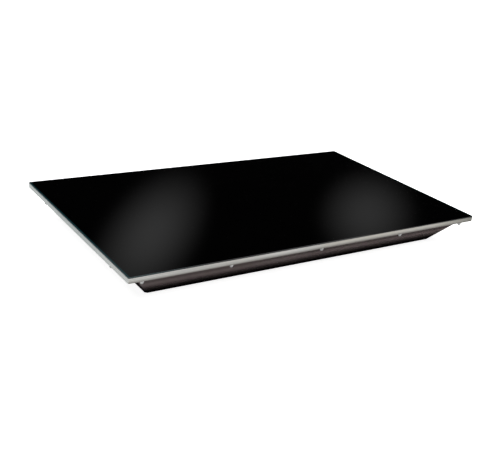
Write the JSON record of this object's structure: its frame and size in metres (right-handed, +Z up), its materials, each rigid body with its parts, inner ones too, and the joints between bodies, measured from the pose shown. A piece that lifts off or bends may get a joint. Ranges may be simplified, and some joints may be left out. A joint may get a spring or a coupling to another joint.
{
  "type": "electric food warmer tray",
  "caption": "Flat electric food warmer with a black glass top in a thin metal rim over a shallow flared pan; rear knob, rocker switch and reset button.",
  "frame": {"origin": "centre of the underside of the pan, on the surface that the tray stands on", "axes": "+X along the width to the right, +Y to the rear where the controls are, +Z up; the front faces -Y"},
  "size_m": [0.914, 0.541, 0.077],
  "materials": {
    "black_glass": "polished opaque black",
    "black_silicone": "satin cured bead",
    "sponge_silicone": "fine closed-cell",
    "stainless": "fine brushed along its length",
    "plated_steel": "zinc plated",
    "bright_nut": "bright plated",
    "pan_steel": "dark heat-toned satin sheet",
    "foil": "thin bright foil",
    "cable_silicone": "matt silicone insulation",
    "glass_wool": "fibrous",
    "aluminised": "spangled dip coat",
    "phenolic": "moulded brown phenolic",
    "dial_print": "black enamelled with pale marks",
    "black_plastic": "finely grained",
    "white_inlay": "smooth",
    "switch_plastic": "smooth",
    "rocker_lens": "translucent red",
    "red_button": "smooth red",
    "copper": "drawn copper tube",
    "white_ceramic": "unglazed",
    "brass": "turned",
    "wire_silicone": "matt silicone insulation"
  },
  "bodies": {
    "chassis": {"glass_top": "black_glass", "edge_seal": "black_silicone", "glass_gasket": "sponge_silicone", "rim_frame": "stainless", "rim_studs": "plated_steel", "stud_washers": "plated_steel", "cap_nuts": "bright_nut", "lower_pan": "pan_steel", "heater_foil": "foil", "heating_cable": "cable_silicone", "heater_leads": "cable_silicone", "insulation_blanket": "glass_wool", "retainer_plate": "aluminised", "support_channels": "aluminised", "retainer_screws": "plated_steel", "control_bay": "pan_steel", "control_panel": "stainless", "panel_screws": "bright_nut", "thermostat_body": "phenolic", "thermostat_nut": "plated_steel", "dial_plate": "dial_print", "rocker_housing": "switch_plastic", "rocker_pin": "plated_steel", "limiter_body": "phenolic", "limiter_nut": "plated_steel", "reset_spring": "plated_steel", "thermostat_bulb": "copper", "thermostat_capillary": "copper", "limiter_bulb": "copper", "limiter_capillary": "copper", "gland_body": "black_plastic", "gland_seal": "black_silicone", "gland_dome_nut": "black_plastic", "gland_locknut": "black_plastic", "terminal_block": "white_ceramic", "terminal_screws": "brass", "earth_stud": "brass", "earth_nuts": "brass", "internal_wiring": "wire_silicone"},
    "knob": {"control_knob": "black_plastic", "knob_pointer": "white_inlay", "thermostat_shaft": "plated_steel"},
    "rocker": {"power_rocker": "rocker_lens"},
    "reset": {"reset_button": "red_button"}
  },
  "joints": [
    {"name": "knob_turn", "type": "hinge", "parent": "chassis", "child": "knob", "pos_m": [0.135, 0.2517, 0.03018], "axis": [0, -1, 0], "range_deg": [0, 300]},
    {"name": "rocker_tilt", "type": "hinge", "parent": "chassis", "child": "rocker", "pos_m": [0.088, 0.251, 0.03018], "axis": [1, 0, 0], "range_deg": [0, 20]},
    {"name": "reset_press", "type": "slide", "parent": "chassis", "child": "reset", "axis": [0, -1, 0], "range_m": [0, 0.002], "stiffness_N_per_m": 400, "springref_m": -0.001, "deforming": ["reset_spring"]}
  ]
}
